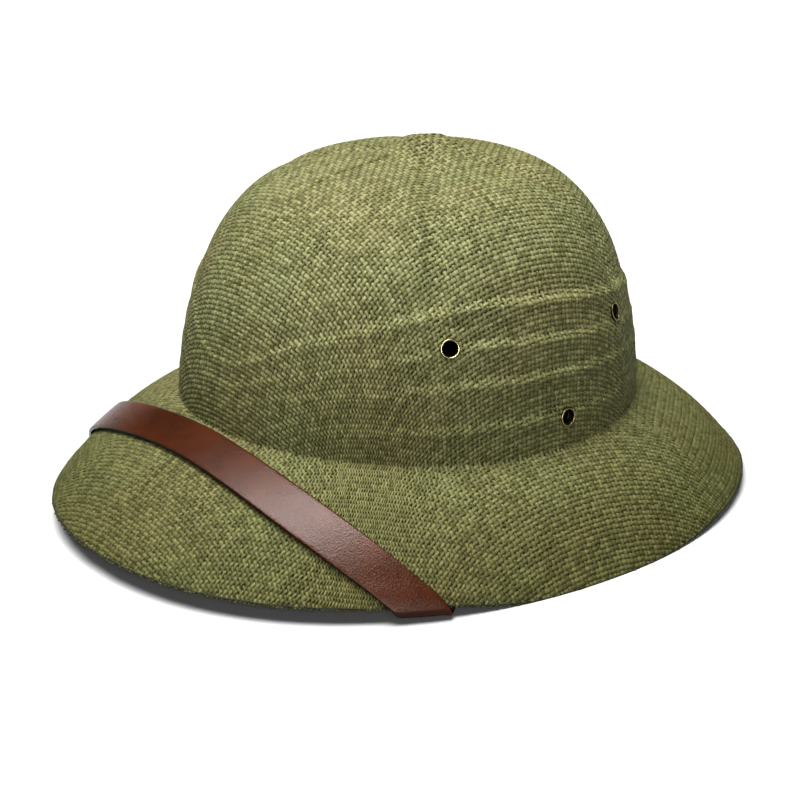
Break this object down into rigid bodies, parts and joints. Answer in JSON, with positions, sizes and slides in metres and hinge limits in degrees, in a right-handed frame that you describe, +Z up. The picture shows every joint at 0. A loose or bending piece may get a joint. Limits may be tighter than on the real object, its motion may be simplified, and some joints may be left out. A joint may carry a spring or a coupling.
{
  "type": "straw jungle hat",
  "caption": "Woven straw sun helmet with a domed, pleated crown, a downward sloping brim, brass eyelets and a leather chin strap laid over the front of the brim.",
  "frame": {"origin": "on the table the hat stands on, under the middle of the brim", "axes": "+Z up, the front of the hat looks along -Y, the wearer's left side is at +X"},
  "size_m": [0.2906, 0.3457, 0.168],
  "materials": {
    "straw": "matte woven straw, olive green",
    "leather": "satin, dark brown with black edges",
    "brass": "antique, darkened"
  },
  "bodies": {
    "root": {"straw_shell": "straw", "chin_strap": "leather", "eyelet_left_front": "brass", "eyelet_left_rear": "brass", "eyelet_left_low": "brass", "eyelet_right_front": "brass", "eyelet_right_rear": "brass", "eyelet_right_low": "brass"}
  },
  "joints": []
}
